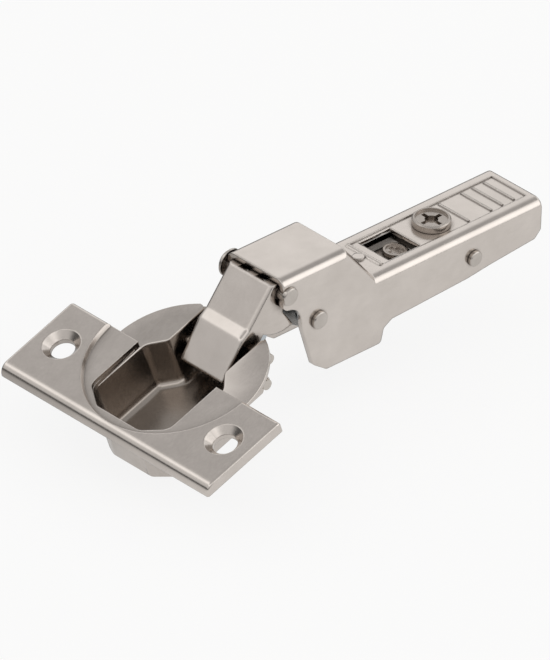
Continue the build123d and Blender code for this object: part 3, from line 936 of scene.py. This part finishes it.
@dataclass
class ArmAssembly:
    """The folded arm, its rivets and the screws in it."""

    # Nickel on folded sheet: soft reflections with faint streaks, and wide soft lines along the folds.
    arm: PlatedMetal = PlatedMetal(
        "nickel_plated_arm_sheet",
        "#dad2cb",
        "#d0c8c1",
        0.20,
        Surface.ROLLED,
        edge=0.6 * MM,
        # Painted shade in its creases.
        hollow="#5a5048",
        hollow_reach=2.0 * MM,
        hollow_from=0.82,
    )
    # Nickel on headed rivets: even, duller than the arm, and with painted shade where the head meets it.
    rivets: PlatedMetal = PlatedMetal(
        "nickel_plated_rivet",
        "#cdc6bf",
        "#bdb6af",
        0.24,
        Surface.TURNED,
        hollow="#5d554e",
        hollow_reach=1.5 * MM,
    )
    # Darker nickel on the screws: even, and duller than the rivets.
    screws: PlatedMetal = PlatedMetal("dark_nickel_screw", "#bab2ab", "#aba39c", 0.26, Surface.TURNED)

    def dress(self) -> None:
        """Gives the arm's pieces their finishes."""
        dress(["hinge_arm"], self.arm.material())
        dress(["outer_link_pin", "inner_link_pin", "tilt_pin"], self.rivets.material())
        dress(["depth_screw", "side_screw"], self.screws.material())


@dataclass
class Linkage:
    """The two links between the arm and the cup, and the closing spring."""

    # Nickel on a pressed strap: bright, with broad soft edges and painted shade in its creases.
    outer: PlatedMetal = PlatedMetal(
        "nickel_plated_link_sheet",
        "#d4ccc5",
        "#c9c1ba",
        0.19,
        Surface.ROLLED,
        edge=0.8 * MM,
        hollow="#5a5048",
        hollow_reach=2.5 * MM,
        hollow_from=0.9,
    )
    # Zinc on a link: bluish, and duller than the outer link's nickel.
    inner: PlatedMetal = PlatedMetal("zinc_plated_link_sheet", "#c6ccd0", "#bac0c4", 0.27, Surface.ROLLED)
    # Drawn wire: grey and evenly dull.
    spring: PlatedMetal = PlatedMetal("drawn_spring_wire", "#bdb8b3", "#a9a49f", 0.30, Surface.TURNED)

    def dress(self) -> None:
        """Gives the links and the spring their finishes."""
        dress(["outer_link"], self.outer.material())
        dress(["inner_link"], self.inner.material())
        ClosingSpring().build(self.spring.material())


@dataclass
class ClipCarrier:
    """The channel inside the arm that clips over a mounting plate, and its release lever."""

    # Nickel inside the arm: dull, with painted shade that turns almost black deep in the channel.
    sheet: PlatedMetal = PlatedMetal(
        "nickel_plated_carrier_sheet",
        "#c2bab3",
        "#b5ada6",
        0.30,
        Surface.ROLLED,
        hollow="#2b2622",
        hollow_reach=7 * MM,
    )
    # Zinc on pressed sheet: a plain grey, duller than the arm.
    lever: PlatedMetal = PlatedMetal("zinc_plated_lever_sheet", "#c4c2bd", "#b7b5b0", 0.28, Surface.ROLLED)

    def dress(self) -> None:
        """Gives the carrier's pieces their finishes."""
        dress(["clip_carrier", "lever_pin"], self.sheet.material())
        dress(["release_lever"], self.lever.material())


@dataclass(frozen=True)
class Softbox:
    """Soft square lamp that points at the object, with lengths in metres and power in watts."""

    name: str
    toward: tuple[float, float, float]
    away: float
    size: float
    power: float


@dataclass
class Studio:
    """Pale floor, soft light and a camera with a long lens."""

    floor_half: float = 1.5
    floor_drop: float = 0.2 * MM
    floor_colour: str = "#f7f6f4"
    white: str = "#ffffff"
    white_share: float = 0.85
    # Painted reflection: how bright the floor glows for metal near the camera and far from it, and where
    # along X each begins.
    mirrored_near: float = 0.84
    mirrored_far: float = 0.12
    near_x: float = 0.02
    far_x: float = -0.10

    view_from: tuple[float, float, float] = (0.6019, -0.5993, 0.5279)
    view_right: tuple[float, float, float] = (0.6914, 0.7218, 0.0311)
    look_at: tuple[float, float, float] = (5.86 * MM, -47.27 * MM, 12.87 * MM)
    distance: float = 3.0
    clip_end: float = 12.0
    pixels_per_mm: float = 5.2377
    photo_width: int = 550
    sensor: float = 36.0

    softbox: Softbox = Softbox("back_right_softbox", (0.68, 0.60, 0.42), away=0.8, size=0.7, power=0.9)

    # The sky's levels over height, before and behind the object, and where along Y they blend.
    sky_gain: float = 1.33
    before_y: float = -0.25
    behind_y: float = 0.45
    sky_behind: tuple[tuple[float, float], ...] = (
        (-0.05, 0.15),
        (0.05, 0.18),
        (0.14, 0.71),
        (0.55, 0.75),
        (0.68, 0.52),
        (0.76, 0.32),
        (1.0, 0.38),
    )
    sky_before: tuple[tuple[float, float], ...] = (
        (-0.05, 0.05),
        (0.12, 0.09),
        (0.24, 0.54),
        (0.46, 0.53),
        (0.57, 0.66),
        (0.62, 1.0),
        (0.73, 1.0),
        (0.79, 0.42),
    )

    def build(self) -> None:
        """Makes the floor, the sky, the lamp and the camera."""
        self.floor()
        self.world()
        self.hang(self.softbox)
        self.camera()

    def floor(self) -> None:
        """Lays a pale floor just under the lowest point.

        The camera sees it almost white. For metal's mirror rays it glows as a painted reflection,
        bright near the camera and dim on the far side.
        """
        height = CAD_BOX[0][2] - self.floor_drop
        half = self.floor_half
        mesh = bpy.data.meshes.new("pale_floor")
        corners = [(-half, -half, height), (half, -half, height), (half, half, height), (-half, half, height)]
        mesh.from_pydata(corners, [], [(0, 1, 2, 3)])
        floor = bpy.data.objects.new("pale_floor", mesh)
        bpy.context.collection.objects.link(floor)
        paint = bpy.data.materials.new("pale_floor")
        paint.use_nodes = True
        tree = paint.node_tree
        tree.nodes.clear()
        rays = node(tree, "ShaderNodeLightPath")
        seen = node(
            tree,
            "ShaderNodeMath",
            settings={"operation": "MAXIMUM"},
            links={0: rays.outputs["Is Camera Ray"], 1: rays.outputs["Is Glossy Ray"]},
        )
        share = node(
            tree,
            "ShaderNodeMath",
            settings={"operation": "MULTIPLY"},
            values={1: self.white_share},
            links={0: seen.outputs[0]},
        )
        lit = node(tree, "ShaderNodeBsdfDiffuse", values={"Color": linear(self.floor_colour)})
        spot = node(tree, "ShaderNodeNewGeometry")
        across = node(tree, "ShaderNodeSeparateXYZ", links={0: spot.outputs["Position"]})
        mirrored = node(
            tree,
            "ShaderNodeMapRange",
            values={
                "From Min": self.far_x,
                "From Max": self.near_x,
                "To Min": self.mirrored_far,
                "To Max": self.mirrored_near,
            },
            links={"Value": across.outputs["X"]},
        )
        level = node(
            tree,
            "ShaderNodeMapRange",
            values={"To Max": 1.0},
            links={"Value": rays.outputs["Is Camera Ray"], "To Min": mirrored.outputs["Result"]},
        )
        glow = node(
            tree,
            "ShaderNodeEmission",
            values={"Color": linear(self.white)},
            links={"Strength": level.outputs["Result"]},
        )
        mixed = node(
            tree,
            "ShaderNodeMixShader",
            links={0: share.outputs[0], 1: lit.outputs[0], 2: glow.outputs[0]},
        )
        node(tree, "ShaderNodeOutputMaterial", links={"Surface": mixed.outputs[0]})
        mesh.materials.append(paint)
        LOG.info("floor at %.4f m", height)

    def world(self) -> None:
        """Makes a sky that changes with height, differently before and behind the object.

        The camera sees it white.
        """
        world = bpy.data.worlds.new("studio_sky")
        bpy.context.scene.world = world
        world.use_nodes = True
        tree = world.node_tree
        tree.nodes.clear()
        place = node(tree, "ShaderNodeTexCoord")
        parts = node(tree, "ShaderNodeSeparateXYZ", links={0: place.outputs["Generated"]})
        behind = node(
            tree,
            "ShaderNodeMapRange",
            settings={"interpolation_type": "SMOOTHSTEP"},
            values={"From Min": self.before_y, "From Max": self.behind_y},
            links={"Value": parts.outputs["Y"]},
        )
        sky = node(
            tree,
            "ShaderNodeMix",
            settings={"data_type": "RGBA"},
            links={
                0: behind.outputs["Result"],
                6: self.ramp(tree, parts.outputs["Z"], self.sky_before),
                7: self.ramp(tree, parts.outputs["Z"], self.sky_behind),
            },
        )
        bright = node(
            tree,
            "ShaderNodeVectorMath",
            settings={"operation": "SCALE"},
            values={"Scale": self.sky_gain},
            links={0: sky.outputs[2]},
        )
        rays = node(tree, "ShaderNodeLightPath")
        shown = node(
            tree,
            "ShaderNodeMix",
            settings={"data_type": "RGBA"},
            values={7: linear(self.white)},
            links={0: rays.outputs["Is Camera Ray"], 6: bright.outputs[0]},
        )
        light = node(
            tree,
            "ShaderNodeBackground",
            values={"Strength": 1.0},
            links={"Color": shown.outputs[2]},
        )
        node(tree, "ShaderNodeOutputWorld", links={"Surface": light.outputs[0]})

    def ramp(
        self,
        tree: bpy.types.NodeTree,
        height: bpy.types.NodeSocket,
        levels: tuple[tuple[float, float], ...],
    ) -> bpy.types.NodeSocket:
        """Adds a ramp of grey levels over height.

        Args:
            tree: Node tree of the sky.
            height: Socket with the height, from -1 to 1.
            levels: Pairs of height and brightness, from low to high.

        Returns:
            The ramp's colour.
        """
        scaled = node(
            tree,
            "ShaderNodeMapRange",
            values={"From Min": -1.0, "From Max": 1.0},
            links={"Value": height},
        )
        ramp = node(tree, "ShaderNodeValToRGB", links={"Fac": scaled.outputs["Result"]})
        stops = ramp.color_ramp.elements
        while len(stops) < len(levels):
            stops.new(0.5)
        for stop, (at, level) in zip(stops, levels):
            stop.position = (at + 1) / 2
            stop.color = (level, level, level, 1.0)
        return ramp.outputs["Color"]

    def hang(self, softbox: Softbox) -> None:
        """Hangs a lamp that points at the object.

        Args:
            softbox: The lamp's name, place, size and power.
        """
        light = bpy.data.lights.new(softbox.name, "AREA")
        light.shape = "SQUARE"
        light.size = softbox.size
        light.energy = softbox.power
        lamp = bpy.data.objects.new(softbox.name, light)
        bpy.context.collection.objects.link(lamp)
        direction = Vector(softbox.toward).normalized()
        lamp.location = Vector(self.look_at) + direction * softbox.away
        lamp.rotation_euler = direction.to_track_quat("Z", "Y").to_euler()

    def camera(self) -> None:
        """Sets a long-lens camera along the photograph's line of sight."""
        back = Vector(self.view_from).normalized()
        right = Vector(self.view_right)
        right = (right - back * right.dot(back)).normalized()
        up = back.cross(right)
        lens = bpy.data.cameras.new("photo_camera")
        lens.sensor_fit = "HORIZONTAL"
        lens.sensor_width = self.sensor
        lens.lens = self.pixels_per_mm * self.sensor * self.distance / MM / self.photo_width
        lens.clip_end = self.clip_end
        eye = bpy.data.objects.new("photo_camera", lens)
        bpy.context.collection.objects.link(eye)
        turn = Matrix((right, up, back)).transposed().to_4x4()
        eye.matrix_world = Matrix.Translation(Vector(self.look_at) + back * self.distance) @ turn
        bpy.context.scene.camera = eye
        bpy.context.scene.view_settings.view_transform = "Standard"


def main() -> None:
    """Dresses each assembly, then sets the studio around it."""
    logging.basicConfig(level=logging.INFO, format="%(message)s")
    for assembly in (CupAssembly(), ArmAssembly(), Linkage(), ClipCarrier()):
        assembly.dress()
        LOG.info("finished %s", type(assembly).__name__)
    Studio().build()


if __name__ == "__main__":
    main()
